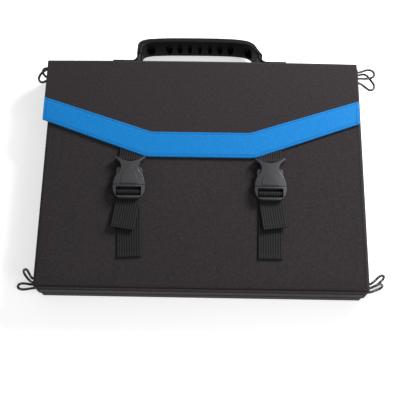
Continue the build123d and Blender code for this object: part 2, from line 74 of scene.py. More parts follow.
# %% Camera
look_side = math.radians(-2.0)
look_down = math.radians(70.96)
roll = math.radians(-1.0)
distance = 1.23463
target = Vector((-0.00425, -0.04111, 0.024))
forward = Vector((
    math.sin(look_side) * math.cos(look_down),
    math.cos(look_side) * math.cos(look_down),
    -math.sin(look_down),
))
level_right = Vector((math.cos(look_side), -math.sin(look_side), 0.0))
level_up = level_right.cross(forward)
right = level_right * math.cos(roll) + level_up * math.sin(roll)
up = level_up * math.cos(roll) - level_right * math.sin(roll)
camera_data = bpy.data.cameras.new("camera")
camera_data.lens = 68.3
camera_data.sensor_width = 36.0
camera = bpy.data.objects.new("camera", camera_data)
camera.matrix_world = Matrix((
    (right.x, up.x, -forward.x, target.x - forward.x * distance),
    (right.y, up.y, -forward.y, target.y - forward.y * distance),
    (right.z, up.z, -forward.z, target.z - forward.z * distance),
    (0.0, 0.0, 0.0, 1.0),
))
bpy.context.scene.collection.objects.link(camera)
bpy.context.scene.camera = camera
print("camera at", [round(v, 3) for v in camera.location])


# %% [markdown]
# ## Two small helpers for materials
# Colours are picked as sRGB hex values, but a shader works with linear light, so one function
# turns one into the other. A second one adds a node with its settings, values and links.

# %% Material helpers
def linear(hex_colour):
    """Linear RGBA of an sRGB hex colour."""
    channels = [int(hex_colour[i:i + 2], 16) / 255 for i in (1, 3, 5)]
    return [c / 12.92 if c <= 0.04045 else ((c + 0.055) / 1.055) ** 2.4 for c in channels] + [1.0]


def add_node(tree, kind, values=None, links=None, **settings):
    """Add a node, with settings, socket values and incoming links."""
    node = tree.nodes.new(kind)
    for key, value in settings.items():
        setattr(node, key, value)
    for key, value in (values or {}).items():
        node.inputs[key].default_value = value
    for key, socket in (links or {}).items():
        tree.links.new(socket, node.inputs[key])
    return node


def new_finish(name, **values):
    """A material with an empty tree, its shader and the object coordinates."""
    material = bpy.data.materials.new(name)
    material.use_nodes = True
    tree = material.node_tree
    tree.nodes.clear()
    sockets = {key.replace("_", " "): value for key, value in values.items()}
    shader = add_node(tree, "ShaderNodeBsdfPrincipled", sockets)
    add_node(tree, "ShaderNodeOutputMaterial", links={"Surface": shader.outputs["BSDF"]})
    place = add_node(tree, "ShaderNodeTexCoord").outputs["Object"]
    return material, tree, shader, place


def two_tone(tree, shader, factor, dark, light):
    """Colour a shader between two hex colours by a factor."""
    mix = add_node(tree, "ShaderNodeMix", {6: linear(dark), 7: linear(light)}, {0: factor},
                   data_type="RGBA")
    tree.links.new(mix.outputs[2], shader.inputs["Base Color"])
    return mix


def raise_bump(tree, shader, height, depth_mm, strength=1.0):
    """Bump of a real depth from a height between 0 and 1."""
    bump = add_node(tree, "ShaderNodeBump", {"Strength": strength, "Distance": depth_mm * MM},
                    {"Height": height})
    tree.links.new(bump.outputs["Normal"], shader.inputs["Normal"])


def stripes(tree, place, axis, pitch_mm):
    """Smooth stripes of a real pitch along one axis."""
    return add_node(tree, "ShaderNodeTexWave", {"Scale": 2 * math.pi / (20 * pitch_mm * MM)},
                    {"Vector": place}, bands_direction=axis).outputs["Fac"]


def math_node(tree, operation, first, second):
    """Value of a math operation between a socket and a socket or number."""
    node = add_node(tree, "ShaderNodeMath", operation=operation)
    for socket, value in zip(node.inputs, (first, second)):
        if isinstance(value, (int, float)):
            socket.default_value = value
        else:
            tree.links.new(value, socket)
    return node.outputs[0]


# %% [markdown]
# ## Woven polyester
# The case is 600-denier polyester, a coarse plain weave with a dull face. Its threads are about
# half a millimetre apart; here they are drawn 0.9 mm apart so that they show at all. They are a
# bump, and the same height also paints the gaps between them darker and their crossings lighter, as
# painted shade. Slow noise a few millimetres wide gives the slight mottling of dyed cloth, and a
# little sheen lightens it where the light grazes it.

# %% Cloth finishes
def woven(name, dark, light, thread_mm, thread_depth, roughness):
    """Plain-weave cloth: crossing threads as a bump and as painted shade, mottled dye and a soft
    sheen.
    """
    material, tree, shader, place = new_finish(name, Roughness=roughness, Specular_IOR_Level=0.12,
                                                Sheen_Weight=0.05, Sheen_Roughness=0.6)
    crossing = math_node(tree, "MULTIPLY", stripes(tree, place, "X", thread_mm),
                         stripes(tree, place, "Y", thread_mm))
    upright = math_node(tree, "MULTIPLY", crossing, stripes(tree, place, "Z", thread_mm))
    mottle = add_node(tree, "ShaderNodeTexNoise", {"Scale": 260.0, "Detail": 3.0, "Roughness": 0.7},
                      {"Vector": place}).outputs["Fac"]
    # Random dye mottling plus painted shade: the weave's height makes the thread gaps darker and
    # the crossings lighter.
    dye_and_weave_shade = math_node(tree, "ADD", math_node(tree, "MULTIPLY", upright, 0.35), mottle)
    two_tone(tree, shader, math_node(tree, "SUBTRACT", dye_and_weave_shade, 0.12), dark, light)
    raise_bump(tree, shader, upright, thread_depth)
    return material


case_cloth = woven("woven_polyester_charcoal", "#1D1A1C", "#423C3F", 0.9, 0.14, 0.9)
binding_cloth = woven("binding_tape_black", "#121113", "#262427", 0.7, 0.10, 0.85)
band_cloth = woven("coated_polyester_blue", "#0770BC", "#1290DE", 0.6, 0.05, 0.62)

# %% [markdown]
# ## Webbing
# Polypropylene webbing is woven in ribs that run along the strap. Their height is a bump, and the
# same height paints the grooves between them darker and the crests lighter, as painted shade. The
# pattern follows the strap round its bends, so it reads the piece's own UV map, whose unit is a
# metre across and along.

# %% Webbing finish
webbing, webbing_tree, webbing_shader, _ = new_finish("ribbed_webbing_black", Roughness=0.7,
                                                        Specular_IOR_Level=0.2)
strap_place = add_node(webbing_tree, "ShaderNodeUVMap", uv_map="cloth").outputs["UV"]
ribs = stripes(webbing_tree, strap_place, "X", 3.8)
picks = stripes(webbing_tree, strap_place, "Y", 1.3)
rib_relief_and_shade = math_node(webbing_tree, "ADD", math_node(webbing_tree, "MULTIPLY", ribs, 0.75),
                    math_node(webbing_tree, "MULTIPLY", picks, 0.25))
# Painted shade: the rib grooves are coloured near black and the crests lighter, from the same
# height as the bump.
two_tone(webbing_tree, webbing_shader, rib_relief_and_shade, "#080808", "#2B2A2B")
raise_bump(webbing_tree, webbing_shader, rib_relief_and_shade, 0.35)

# %% [markdown]
# ## Cord, thread, plastic and rubber
# The corner loops are braided utility cord, black with white flecks. The buckles are moulded
# acetal, satin and a little grey; the grip is soft moulded rubber. Fine noise in the bump stands
# for the grain that a mould leaves.

# %% Cord and moulded finishes
cord_braid, cord_tree, cord_shader, cord_place = new_finish("flecked_braided_cord", Roughness=0.7)
fleck_noise = add_node(cord_tree, "ShaderNodeTexVoronoi", {"Scale": 330.0},
                       {"Vector": cord_place}).outputs["Distance"]
fleck_full, fleck_gone = 0.27, 0.37   # a fleck fades out between these shares of a cell
fleck = add_node(cord_tree, "ShaderNodeMapRange",
                 {1: fleck_full, 2: fleck_gone, 3: 1.0, 4: 0.0}, {0: fleck_noise})
two_tone(cord_tree, cord_shader, fleck.outputs[0], "#131314", "#8F8F92")
braid = add_node(cord_tree, "ShaderNodeTexNoise", {"Scale": 900.0}, {"Vector": cord_place})
raise_bump(cord_tree, cord_shader, braid.outputs["Fac"], 0.3)


def moulded(name, dark, light, roughness, grain_mm, grain_depth, **values):
    """Moulded plastic or rubber: one colour with faint clouding, and a fine mould grain."""
    material, tree, shader, place = new_finish(name, Roughness=roughness, **values)
    cloud = add_node(tree, "ShaderNodeTexNoise", {"Scale": 90.0, "Detail": 2.0}, {"Vector": place})
    two_tone(tree, shader, cloud.outputs["Fac"], dark, light)
    grain = add_node(tree, "ShaderNodeTexNoise", {"Scale": 1 / (grain_mm * MM)}, {"Vector": place})
    raise_bump(tree, shader, grain.outputs["Fac"], grain_depth)
    return material


# The buckles' faces are crowned a little from side to side. The height falls away with the square
# of the distance from each buckle's centre line, which the bump turns into that crown.
acetal, acetal_tree, acetal_shader, acetal_place = new_finish(
    "acetal_satin_black", Roughness=0.34, IOR=1.5)
acetal_cloud = add_node(acetal_tree, "ShaderNodeTexNoise", {"Scale": 90.0},
                        {"Vector": acetal_place})
two_tone(acetal_tree, acetal_shader, acetal_cloud.outputs["Fac"], "#38383A", "#48484B")
flap_centre_mm, buckle_spread_mm, crown_half_mm = -5.0, 113.0, 25.2
crown_rise_mm = 3.0
acetal_axes = add_node(acetal_tree, "ShaderNodeSeparateXYZ", links={"Vector": acetal_place})
from_flap_centre = math_node(acetal_tree, "SUBTRACT", acetal_axes.outputs["X"],
                             flap_centre_mm * MM)
either_side = math_node(acetal_tree, "ABSOLUTE", from_flap_centre, 0.0)
from_buckle = math_node(acetal_tree, "SUBTRACT", either_side, buckle_spread_mm * MM)
crown_share = math_node(acetal_tree, "DIVIDE", from_buckle, crown_half_mm * MM)
crown_fall = math_node(acetal_tree, "MULTIPLY", crown_share, crown_share)
crown = math_node(acetal_tree, "SUBTRACT", 1.0, crown_fall)
raise_bump(acetal_tree, acetal_shader, crown, crown_rise_mm)
rubber = moulded("soft_rubber_black", "#030303", "#070708", 0.5, 0.8, 0.04, IOR=1.45,
                 Specular_IOR_Level=0.25)
box_plastic = moulded("moulded_abs_black", "#151516", "#1F1F21", 0.45, 0.7, 0.03, IOR=1.53)
foam = moulded("foam_board_white", "#CFCBC2", "#DEDBD3", 0.9, 2.0, 0.2)
thread_dark = moulded("polyester_thread_black", "#121213", "#1D1D1F", 0.7, 0.3, 0.02)
thread_blue = moulded("polyester_thread_blue", "#053F7E", "#074A92", 0.65, 0.3, 0.02)
laminate_film = moulded("backing_film_black", "#0F1013", "#16181C", 0.35, 3.0, 0.02,
                        Coat_Weight=0.5)
copper = moulded("tinned_copper_cable", "#6B4A36", "#8A6248", 0.4, 1.0, 0.02, Metallic=0.9)
socket_metal = moulded("nickel_plated_socket", "#8D8E90", "#A6A7A9", 0.3, 0.5, 0.01,
                       Metallic=1.0)

# %% [markdown]
# ## Solar cells
# A monocrystalline cell is a dark blue wafer under clear film. Thin silver fingers cross it and
# five wider busbars collect from them. Both are stripes of a real pitch, cut narrow.

# %% Cell finish
cell_finish, cell_tree, cell_shader, cell_place = new_finish(
    "monocrystalline_cell", Roughness=0.22, Coat_Weight=0.8, Coat_Roughness=0.12)
busbar = math_node(cell_tree, "GREATER_THAN", stripes(cell_tree, cell_place, "X", 32.0), 0.985)
finger = math_node(cell_tree, "GREATER_THAN", stripes(cell_tree, cell_place, "Y", 3.2), 0.96)
silver = math_node(cell_tree, "MAXIMUM", busbar, math_node(cell_tree, "MULTIPLY", finger, 0.25))
two_tone(cell_tree, cell_shader, silver, "#0B1226", "#A9AEB8")

# %% Give every CAD node its finish
finish_by_ending = {
    "_board": foam, "_laminate": laminate_film, "_cells": cell_finish, "_wires": copper,
    "_socket": socket_metal, "_lid": box_plastic, "_base": box_plastic, "handle_grip": rubber,
    "handle_strap": webbing,
}
for name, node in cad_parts.items():
    finish = acetal if name.startswith("buckle") else None
    for ending, candidate in finish_by_ending.items():
        if name.endswith(ending):
            finish = candidate
    if finish:
        for material_slot in node.material_slots:
            material_slot.material = finish
print("finishes on CAD nodes done")

# %% [markdown]
# ## Floor and light
# A product table is a plain pale surface in even light. A soft lamp behind the case on the right
# gives the cloth its slow brightening to that side and puts the shadows at the lower left, and a
# weaker one in front of it fills them. The table glows a little, so that it stays near white.

# %% Floor and lamps
floor_finish, floor_tree, floor_shader, floor_place = new_finish("matt_white_table", Roughness=0.9)
floor_cloud = add_node(floor_tree, "ShaderNodeTexNoise", {"Scale": 3.0}, {"Vector": floor_place})
two_tone(floor_tree, floor_shader, floor_cloud.outputs["Fac"], "#F6F6F6", "#FBFBFB")
floor_shader.inputs["Emission Color"].default_value = (1, 1, 1, 1)
floor_shader.inputs["Emission Strength"].default_value = 0.55
floor_mesh = bpy.data.meshes.new("table")
floor_half = 4.0
floor_mesh.from_pydata(
    [(-floor_half, -floor_half, 0), (floor_half, -floor_half, 0),
     (floor_half, floor_half, 0), (-floor_half, floor_half, 0)], [], [(0, 1, 2, 3)])
floor_mesh.materials.append(floor_finish)
floor = bpy.data.objects.new("table", floor_mesh)
bpy.context.scene.collection.objects.link(floor)

world = bpy.data.worlds.new("studio")
world.use_nodes = True
world.node_tree.nodes["Background"].inputs["Color"].default_value = (1, 1, 1, 1)
world.node_tree.nodes["Background"].inputs["Strength"].default_value = 0.32
bpy.context.scene.world = world
bpy.context.scene.view_settings.view_transform = "Standard"


def soft_lamp(name, place, size, watts):
    """Square lamp that faces the object."""
    data = bpy.data.lights.new(name, "AREA")
    data.size = size
    data.energy = watts
    lamp = bpy.data.objects.new(name, data)
    lamp.matrix_world = (Matrix.Translation(place)
                         @ (target - Vector(place)).to_track_quat("-Z", "Y").to_matrix().to_4x4())
    bpy.context.scene.collection.objects.link(lamp)


soft_lamp("key_lamp", (1.15, 1.15, 0.85), 0.55, 46.0)
soft_lamp("front_lamp", (1.4, -1.0, 1.3), 1.0, 12.0)

# %% [markdown]
# ## Corner loops
# Each corner carries loops of 4 mm cord, sewn into the side seam at both ends, for tying the open
# blanket out. A loop is a free cord, so it is one NURBS spline through a few points: out of the
# seam, round in a lazy bight that sinks a little, and back in.

# %% Loop routes
# For each loop: which side and which end of the panel, the cord's length in metres, and a route
# of (out from the side seam, in from the panel's edge, drop below the panel's middle) in mm.
loop_routes = {
    "front_upper_right": (1, 1, 0.0650, [
        (0, 9, 0), (7, 7, 0.4), (16, 2.5, 1.2), (26, 4, 2.4), (28.5, 13, 3), (20, 19, 2.4),
        (9, 20, 1), (0, 20.5, 0)]),
    "second_upper_right": (1, 1, 0.0793, [
        (0, 8.5, 0), (9, 5, 0.5), (17, 6, 1.3), (24, 16, 2.5), (30, 24, 3.6), (28, 33, 4),
        (20.5, 34.5, 3.4), (13, 29, 2), (6.5, 23.5, 0.7), (0, 22, 0)]),
    "front_lower_right": (1, -1, 0.0595, [
        (0, 9, 0), (8, 12, 0.4), (15, 17.5, 1.4), (21.5, 23.5, 2.5), (23.5, 28.5, 2.9),
        (18.5, 30, 2.5), (12, 24.5, 1.2), (5, 17.5, 0.5), (0, 14.5, 0)]),
    "rear_lower_right": (1, -1, 0.0629, [
        (0, 9, 0), (9, 10, 0.3), (18, 14, 0.9), (26, 17.5, 1.8), (29, 22, 2.2),
        (24.5, 24.5, 2), (16, 20.5, 1), (7, 16, 0.4), (0, 15, 0)]),
    "front_upper_left": (-1, 1, 0.0599, [
        (0, 28, 0), (7, 32, 0.4), (15.5, 36, 1.2), (22, 31, 2.2), (21.5, 21.5, 2.8),
        (15.5, 14, 2.2), (7.5, 9.5, 0.8), (0, 9, 0)]),
    "second_upper_left": (-1, 1, 0.0515, [
        (0, 8.5, 0), (6.5, 5, 0.4), (13, 0.5, 1.2), (19.5, 4, 2.2), (18.5, 11.5, 2.6),
        (12.5, 18, 1.8), (6, 22, 0.6), (0, 24, 0)]),
    "front_lower_left": (-1, -1, 0.0506, [
        (0, 8.5, 0), (5, 11.5, 0.4), (11, 18, 1.4), (15.5, 24, 2.2), (16.5, 29.5, 2.4),
        (11.5, 30, 2.2), (7.5, 24, 1.4), (3.5, 17.5, 0.5), (0, 14.5, 0)]),
    "rear_lower_left": (-1, -1, 0.0689, [
        (0, 8.5, 0), (9, 7.5, 0.3), (19, 5.5, 0.9), (28, 5.5, 1.8), (33, 10, 2.3),
        (29, 15.5, 2), (18, 15, 1.2), (8, 12.8, 0.4), (0, 13.5, 0)]),
}
cord_d = 4.0
seam_out = 0.4
for name, (way, end, length, route) in loop_routes.items():
    panel = name.split("_")[0]
    low, high = node_box(panel + "_cover")
    trim_low, trim_high = node_box(panel + "_binding")
    middle = (min(low[2], trim_low[2]) + max(high[2], trim_high[2])) / 2
    curve = bpy.data.curves.new("cord_" + name, "CURVE")
    curve.dimensions = "3D"
    curve.bevel_depth = cord_d / 2 * MM
    curve.bevel_resolution = 3
    curve.resolution_u = 8
    curve.use_fill_caps = True
    spline = curve.splines.new("NURBS")
    spline.points.add(len(route) - 1)
    for point, (out, inward, drop) in zip(spline.points, route):
        x = way * (high[0] + seam_out + out)
        y = end * (high[1] - inward)
        point.co = (x * MM, y * MM, (middle - drop) * MM, 1.0)
    spline.order_u = 3
    spline.use_endpoint_u = True
    curve.materials.append(cord_braid)
    cord = bpy.data.objects.new("cord_" + name, curve)
    bpy.context.scene.collection.objects.link(cord)
    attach(cord, panel + "_panel")
    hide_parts("loop_" + name)
print("loops", len(loop_routes))

# %% [markdown]
# ## Cloth with a thickness
# Most pieces here are flat cloth that bends in one direction: tape, webbing, the flap. Each is
# a grid of middle points with a thickness. Lines crowd at the borders, where the thickness falls
# away, so every edge rounds off as folded cloth does. A plane with a Solidify modifier would also
# do, but then the edges would be square.

# %% Grid and slab helpers
edge_crowd = np.array([0.0, 0.35, 1.1])   # crowded lines, in from a border
crowd_end = 2.2                           # where even spacing starts, in from a border
edge_share = 0.4                          # thickness left at a border


def crowded(start, end, step):
    """Grid lines from start to end, crowded at both ends."""
    way = 1 if end > start else -1
    count = max(2, int(abs(end - start) / step))
    inner = np.linspace(start + way * crowd_end, end - way * crowd_end, count)
    return np.concatenate([start + way * edge_crowd, inner, end - way * edge_crowd[::-1]])


def new_piece(name, points_mm, faces, finish):
    """A mesh object at the origin from points in mm."""
    mesh = bpy.data.meshes.new(name)
    mesh.from_pydata((np.asarray(points_mm) * MM).tolist(), [], faces)
    mesh.polygons.foreach_set("use_smooth", [True] * len(mesh.polygons))
    mesh.materials.append(finish)
    piece = bpy.data.objects.new(name, mesh)
    bpy.context.scene.collection.objects.link(piece)
    return piece


def unit(vectors):
    """Vectors scaled to length one."""
    return vectors / np.linalg.norm(vectors, axis=-1, keepdims=True)


def slab(name, grid, thickness, finish):
    """Closed cloth round a grid of middle points; one thickness, or one for each row."""
    grid = np.asarray(grid, float)
    rows, columns = grid.shape[:2]
    along = np.gradient(grid, axis=0)
    across = np.gradient(grid, axis=1)
    normal = unit(np.cross(across, along))
    half = np.broadcast_to(np.reshape(thickness, (-1, 1)) / 2, (rows, columns)).copy()
    half[[0, -1]] *= edge_share
    half[:, [0, -1]] *= edge_share
    top = (grid + normal * half[..., None]).reshape(-1, 3)
    bottom = (grid - normal * half[..., None]).reshape(-1, 3)
    number = np.arange(rows * columns).reshape(rows, columns)
    low = number + rows * columns
    quads = [
        np.stack([number[:-1, :-1], number[:-1, 1:], number[1:, 1:], number[1:, :-1]], -1),
        np.stack([low[:-1, :-1], low[1:, :-1], low[1:, 1:], low[:-1, 1:]], -1),
        np.stack([low[0, :-1], low[0, 1:], number[0, 1:], number[0, :-1]], -1),
        np.stack([number[-1, :-1], number[-1, 1:], low[-1, 1:], low[-1, :-1]], -1),
        np.stack([number[:-1, 0], number[1:, 0], low[1:, 0], low[:-1, 0]], -1),
        np.stack([low[:-1, -1], low[1:, -1], number[1:, -1], number[:-1, -1]], -1),
    ]
    faces = np.concatenate([q.reshape(-1, 4) for q in quads]).tolist()
    piece = new_piece(name, np.concatenate([top, bottom]), faces, finish)
    width_run = np.zeros((rows, columns))
    width_run[:, 1:] = np.cumsum(np.linalg.norm(np.diff(grid, axis=1), axis=2), axis=1)
    length_run = np.zeros((rows, columns))
    length_run[1:] = np.cumsum(np.linalg.norm(np.diff(grid, axis=0), axis=2), axis=0)
    flat_place = np.tile(np.stack([width_run, length_run], -1).reshape(-1, 2) * MM, (2, 1))
    corner = np.zeros(len(piece.data.loops), int)
    piece.data.loops.foreach_get("vertex_index", corner)
    uv_map = piece.data.uv_layers.new(name="cloth")
    uv_map.data.foreach_set("uv", flat_place[corner].ravel().astype(np.float32))
    cell = np.cross(np.diff(grid, axis=1)[:-1], np.diff(grid, axis=0)[:, :-1])
    piece["area_mm2"] = float(np.linalg.norm(cell, axis=2).sum())
    return piece


bend_share = 0.48   # most of a straight run that one bend may use


def bent(points, radius, step=4.0):
    """A line through points whose corners are bent; lines crowd at both ends."""
    points = [np.array(p, float) for p in points]
    line = [points[0]]
    for before, here, after in zip(points, points[1:], points[2:]):
        back, ahead = np.linalg.norm(before - here), np.linalg.norm(after - here)
        cut = min(radius, bend_share * back, bend_share * ahead)
        start = here + (before - here) / back * cut
        end = here + (after - here) / ahead * cut
        for t in np.linspace(0, 1, 7):
            line.append((1 - t) ** 2 * start + 2 * t * (1 - t) * here + t ** 2 * end)
    line.append(points[-1])
    runs = np.array(line)
    far = np.concatenate([[0], np.cumsum(np.linalg.norm(np.diff(runs, axis=0), axis=1))])
    keep = np.concatenate([edge_crowd, far[(far > 2) & (far < far[-1] - 2)], far[-1] - edge_crowd,
                           np.arange(crowd_end, far[-1] - crowd_end, step)])
    keep = np.unique(keep.round(3))
    return np.stack([np.interp(keep, far, runs[:, axis]) for axis in range(3)], -1)


def ribbon(name, line, width, thickness, finish, side=(1.0, 0.0, 0.0), step=4.0):
    """Tape of one width along a line, kept square to it, its width near the side direction."""
    tangent = unit(np.gradient(line, axis=0))
    side = np.array(side)
    across = unit(side - (tangent @ side)[:, None] * tangent)
    spread = crowded(-width / 2, width / 2, step)
    grid = line[:, None, :] + across[:, None, :] * spread[None, :, None]
    return slab(name, grid, thickness, finish)


def distances(line):
    """How far along a line each of its points is, in mm."""
    return np.concatenate([[0], np.cumsum(np.linalg.norm(np.diff(line, axis=0), axis=1))])


def line_length(line):
    """Length of a line of points, in mm."""
    return float(np.linalg.norm(np.diff(line, axis=0), axis=1).sum())


# %% [markdown]
# ## Panel covers
# Each panel is a foam board in a sewn cloth cover: one large face, a soft rounded edge, and side
# walls down to the binding on the other side. The face is a grid whose border lines follow the
# round of the edge. The cloth is then blown up a little by a cloth simulation with its walls
# pinned, and how far it may move is capped, because a board holds the real one almost flat.

# %% Cover shape
cover_low, cover_high = node_box("front_cover")
panel_w = cover_high[0] - cover_low[0]
panel_h = cover_high[1] - cover_low[1]
cover_deep = cover_high[2] - cover_low[2]
plan_round = 6.0
edge_round = 5.2
skin = 0.8
stitch_inset = 5.0
face_step = 7.0
inset_lines = np.array([0.0, 0.3, 0.9, 1.8, 3.0, 4.2, 5.2, 6.0, 7.5])
inner_from = 11.0                   # even lines start here, in from the edge
slope_in, slope_drop = 14.0, 1.0    # padding thins out over this width, by this much
dip_deep, dip_half = 0.22, 1.3      # the sewn line's furrow


def face_lines(size):
    """Grid lines over the cover's face, crowded in the rounded edge."""
    half = size / 2
    inner = np.linspace(-half + inner_from, half - inner_from, int(size / face_step))
    return np.concatenate([-half + inset_lines, inner, half - inset_lines[::-1]])


xs, ys = face_lines(panel_w), face_lines(panel_h)
face_x, face_y = np.meshgrid(xs, ys)
from_side = panel_w / 2 - np.abs(face_x)
from_end = panel_h / 2 - np.abs(face_y)
in_corner = (from_side < plan_round) & (from_end < plan_round)
corner_x, corner_y = plan_round - from_side, plan_round - from_end
shrink = np.ones_like(face_x)
reach = np.hypot(corner_x, corner_y)
shrink[in_corner] = (np.maximum(corner_x, corner_y) / np.maximum(reach, 1e-6))[in_corner]
round_x = np.sign(face_x) * (panel_w / 2 - plan_round + corner_x * shrink)
round_y = np.sign(face_y) * (panel_h / 2 - plan_round + corner_y * shrink)
plan_x = np.where(in_corner, round_x, face_x)
plan_y = np.where(in_corner, round_y, face_y)
edge_in = np.where(in_corner, plan_round - reach * shrink, np.minimum(from_side, from_end))
turned = np.clip(1 - edge_in / edge_round, 0, 1)
deep = (edge_round * (1 - np.sqrt(1 - turned ** 2))
        + slope_drop * np.clip(1 - edge_in / slope_in, 0, 1) ** 2)
seam_in = stitch_inset + 1.5
seam_dip = dip_deep * np.exp(-((edge_in - seam_in) / dip_half) ** 2)
cover_grid = np.stack([plan_x, plan_y, deep + seam_dip], -1)
rows, columns = face_x.shape
number = np.arange(rows * columns).reshape(rows, columns)
rim = np.concatenate([number[0, :-1], number[:-1, -1], number[-1, :0:-1], number[:0:-1, 0]])
wall_levels = [edge_round + 1.6, cover_deep - 1.6, cover_deep]
cover_points = [cover_grid.reshape(-1, 3)]
for level in wall_levels:
    wall = cover_grid.reshape(-1, 3)[rim].copy()
    wall[:, 2] = level
    cover_points.append(wall)
cover_points = np.concatenate(cover_points)
cover_faces = np.stack([number[:-1, :-1], number[1:, :-1], number[1:, 1:], number[:-1, 1:]],
                       -1).reshape(-1, 4).tolist()
ring = rim
for step_down in range(len(wall_levels)):
    below = rows * columns + step_down * len(rim) + np.arange(len(rim))
    cover_faces += np.stack([ring, np.roll(ring, -1), np.roll(below, -1), below], -1).tolist()
    ring = below
print("cover points", len(cover_points))


# %% Blow the cloth up a little
def blown_up(points, faces, pinned, pressure, last_frame, cap):
    """How far each point moves outwards when the cloth is blown up, at most cap, in mm."""
    cloth_piece = new_piece("cloth_trial", points * (1, 1, -1), faces, case_cloth)
    held = cloth_piece.vertex_groups.new(name="held")
    held.add(pinned.tolist(), 1.0, "REPLACE")
    cloth = cloth_piece.modifiers.new("Cloth", "CLOTH")
    cloth.settings.vertex_group_mass = "held"
    cloth.settings.use_pressure = True
    cloth.settings.uniform_pressure_force = pressure
    cloth.settings.effector_weights.gravity = 0.0
    cloth.point_cache.frame_end = last_frame
    for frame_number in range(1, last_frame + 1):
        bpy.context.scene.frame_set(frame_number)
    graph = bpy.context.evaluated_depsgraph_get()
    settled = cloth_piece.evaluated_get(graph).to_mesh()
    after = np.zeros(len(points) * 3)
    settled.vertices.foreach_get("co", after)
    moved = after.reshape(-1, 3)[:, 2] / MM + points[:, 2]
    bpy.data.objects.remove(cloth_piece)
    bpy.context.scene.frame_set(1)
    return np.clip(moved, -cap, cap)


flat_edge = edge_in.ravel()
held_in = 7.0
swell_cap = 0.3
held_points = np.concatenate([np.flatnonzero(flat_edge < held_in),
                              np.arange(rows * columns, len(cover_points))])
swell = np.zeros(len(cover_points))
swell = blown_up(cover_points, cover_faces, held_points, pressure=4.0, last_frame=20,
                 cap=swell_cap)
print("cloth swells by up to", round(float(np.abs(swell).max()), 2), "mm")

# %% Covers and bindings
# The swell allowed is what each panel has room for: none under the rear one, which lies on the
# table, and a third of a millimetre where another piece lies close.
swell_share = {"rear": 0.0, "third": 1.0, "second": 1.0, "front": 1.0}
cells_up = {"rear": True, "third": False, "second": True, "front": False}
waviness = np.random.default_rng(5)
wave_at = waviness.uniform(0, 2 * math.pi, 4)


def cloth_waves(x, y, height):
    """Slow uneven waves of a stretched cloth."""
    return height * (np.sin(x / 61 + wave_at[0]) * np.sin(y / 47 + wave_at[1])
                     + 0.5 * np.sin(x / 23 + wave_at[2]) * np.sin(y / 29 + wave_at[3]))


def placed(points, panel):
    """Points with a depth from the cloth side, moved to a panel's place in the stack."""
    low, high = node_box(panel + "_cover")
    points = np.array(points, float)
    if cells_up[panel]:
        points[..., 2] = low[2] + points[..., 2]
    else:
        points[..., 2] = high[2] - points[..., 2]
    return points


def rounded_outline(width, height, radius, count=8):
    """Points round a rectangle with round corners, anticlockwise."""
    outline = []
    for quarter, (sign_x, sign_y) in enumerate(((1, 1), (-1, 1), (-1, -1), (1, -1))):
        for t in np.linspace(0, math.pi / 2, count):
            angle = quarter * math.pi / 2 + t
            outline.append((sign_x * (width / 2 - radius) + radius * math.cos(angle),
                            sign_y * (height / 2 - radius) + radius * math.sin(angle)))
    return np.array(outline)


level_in, level_over = 8.0, 20.0    # waves grow from this far in, over this width
wave_height = 0.16
binding_low, binding_high = node_box("front_binding")
binding_t = binding_high[2] - binding_low[2]
window_w, window_h = 484.0, 324.0
for panel in cells_up:
    points = cover_points.copy()
    all_edge = np.concatenate([flat_edge, np.zeros(len(points) - len(flat_edge))])
    inner_share = np.clip((all_edge - level_in) / level_over, 0, 1)
    waves = cloth_waves(points[:, 0], points[:, 1], wave_height) * inner_share
    lift = (swell + waves) * swell_share[panel]
    points[:, 2] -= np.clip(lift, -swell_cap, swell_cap)
    faces = cover_faces if cells_up[panel] else [face[::-1] for face in cover_faces]
    cover = new_piece(panel + "_cover_cloth", placed(points, panel), faces, case_cloth)
    shell = cover.modifiers.new("skin", "SOLIDIFY")
    shell.thickness = skin * MM
    shell.offset = -1.0
    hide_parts(panel + "_cover")
    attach(cover, panel + "_panel")

    tape_sections = [
        (panel_w, panel_h, plan_round, cover_deep),
        (panel_w, panel_h, plan_round, cover_deep + 0.45),
        (panel_w - 0.8, panel_h - 0.8, plan_round - 0.4, cover_deep + binding_t),
        (window_w + 1.2, window_h + 1.2, plan_round + 0.6, cover_deep + binding_t),
        (window_w, window_h, plan_round, cover_deep + 0.45),
        (window_w, window_h, plan_round, cover_deep + 0.02),
    ]
    loops = []
    for width, height, radius, level in tape_sections:
        outline = rounded_outline(width, height, radius)
        loops.append(np.column_stack([outline, np.full(len(outline), level)]))
    around = len(loops[0])
    tape_faces = []
    for i in range(len(loops)):
        here, there = i * around, (i + 1) % len(loops) * around
        for k in range(around):
            after = (k + 1) % around
            quad = (here + k, here + after, there + after, there + k)
            tape_faces.append(quad if cells_up[panel] else quad[::-1])
    tape = new_piece(panel + "_binding_tape", placed(np.concatenate(loops), panel), tape_faces,
                     binding_cloth)
    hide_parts(panel + "_binding")
    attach(tape, panel + "_panel")

# %% [markdown]
# ## Spine and flap
# The spine and the flap are one length of cloth over two boards, folded over the edge of the stack.
# It is one grid: its rows climb the spine, turn over the fold and run down the flap, and each row
# is as thick as the board inside it needs.

# %% Outlines of the flap and the band
spine_low, spine_high = node_box("spine_cover")
flap_low, flap_high = node_box("flap_cover")
band_low, band_high = node_box("flap_band")
flap_middle_x = (flap_low[0] + flap_high[0]) / 2
flap_half = (flap_high[0] - flap_low[0]) / 2
flap_side_y = 87.5
flap_flat_half = 88.6
band_side_top = 127.5
band_middle_top = 67.0
band_flat_half = 81.0


def across_flap(x, side_y, middle_y, flat_half):
    """Height of a line that is level in the middle and slants up to both sides, corners eased."""
    total = 0.0
    for ease in (-3.0, -1.5, 0.0, 1.5, 3.0):
        out = np.abs(x + ease - flap_middle_x)
        slant = np.clip((out - flat_half) / (flap_half - flat_half), 0, 1.02)
        total = total + middle_y + (side_y - middle_y) * slant
    return total / 5


def flap_edge(x):
    return across_flap(x, flap_side_y, flap_low[1], flap_flat_half)


def band_edge(x):
    return across_flap(x, band_side_top, band_middle_top, band_flat_half)


